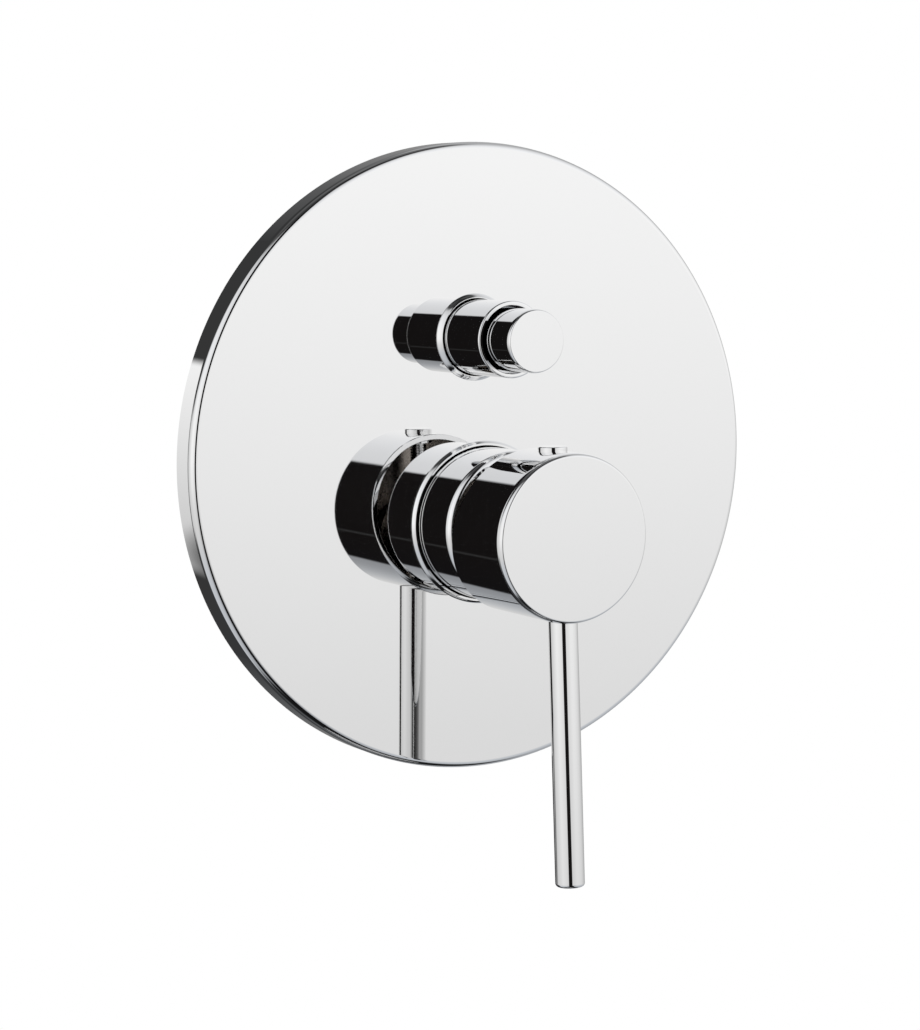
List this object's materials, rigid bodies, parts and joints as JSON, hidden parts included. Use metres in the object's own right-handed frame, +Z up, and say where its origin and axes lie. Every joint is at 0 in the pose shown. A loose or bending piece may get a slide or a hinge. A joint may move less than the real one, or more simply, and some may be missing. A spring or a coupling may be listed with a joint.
{
  "type": "concealed shower mixer",
  "caption": "Concealed single-lever shower mixer: round chrome wall plate, round handle with a hanging rod lever, pull-out diverter above it, and the in-wall valve body behind.",
  "frame": {"origin": "centre of the four fixing holes, on the plane that the valve body is fixed to, level with the cartridge axis; the finished wall is the plane Y = -0.054 m", "axes": "+Y into the wall, along the cartridge axis (the front of the plate looks along -Y); +Z up; +X to the user's right"},
  "size_m": [0.175, 0.1134, 0.2],
  "materials": {
    "plate_chrome": "polished chrome plate on pressed brass",
    "trim_chrome": "polished chrome plate on turned brass",
    "handle_chrome": "polished chrome plate on turned brass",
    "cast_brass": "sand-cast skin, machined at the sockets",
    "turned_brass": "turned, lightly oiled",
    "foam_rubber": "closed-cell foam",
    "black_rubber": "smooth moulded",
    "white_plastic": "moulded, satin",
    "grey_plastic": "moulded, satin",
    "disc_ceramic": "lapped",
    "bright_steel": "drawn, bright"
  },
  "bodies": {
    "valve": {"wall_plate": "plate_chrome", "plate_gasket": "foam_rubber", "sleeve_collar": "trim_chrome", "sleeve_seal": "black_rubber", "cartridge_sleeve": "trim_chrome", "sleeve_oring": "black_rubber", "mixer_body": "cast_brass", "cartridge_nut": "turned_brass", "cartridge_housing": "white_plastic", "cartridge_base": "grey_plastic", "base_seals": "black_rubber", "disc_seals": "black_rubber", "fixed_disc": "disc_ceramic", "diverter_collar": "trim_chrome", "diverter_seal": "black_rubber", "diverter_sleeve": "trim_chrome", "spindle_oring": "black_rubber", "diverter_bonnet": "turned_brass", "bonnet_oring": "black_rubber", "diverter_cage": "turned_brass", "cage_orings": "black_rubber", "return_spring": "bright_steel", "spring_cap": "turned_brass"},
    "rotor": {"spindle_rotor": "white_plastic", "pivot_pin": "bright_steel"},
    "lever": {"lever_spindle": "bright_steel", "handle": "handle_chrome", "lever_rod": "handle_chrome", "handle_screw": "handle_chrome"},
    "disc": {"disc_carrier": "grey_plastic", "moving_disc": "disc_ceramic"},
    "button": {"diverter_button": "trim_chrome", "diverter_spindle": "turned_brass", "front_washer": "black_rubber", "rear_washer": "black_rubber", "washer_nut": "turned_brass", "spring_clip": "bright_steel"}
  },
  "joints": [
    {"name": "lever_turn", "type": "hinge", "parent": "valve", "child": "rotor", "pos_m": [0, -0.07, 0], "axis": [0, 1, 0], "range_deg": [-49.3, 44.7]},
    {"name": "lever_lift", "type": "hinge", "parent": "rotor", "child": "lever", "pos_m": [0, -0.07, 0], "axis": [-0.9992, 0, 0.0401], "range_deg": [0, 24.6]},
    {"name": "disc_slide", "type": "slide", "parent": "rotor", "child": "disc", "axis": [-0.0401, 0, -0.9992], "range_m": [0, 0.0047]},
    {"name": "button_pull", "type": "slide", "parent": "valve", "child": "button", "axis": [0, -1, 0], "range_m": [0, 0.007], "stiffness_N_per_m": 300, "springref_m": -0.006, "deforming": ["return_spring"]}
  ],
  "couplings": [
    {"joint": "disc_slide", "follows": "lever_lift", "m_per_rad": 0.01091}
  ]
}
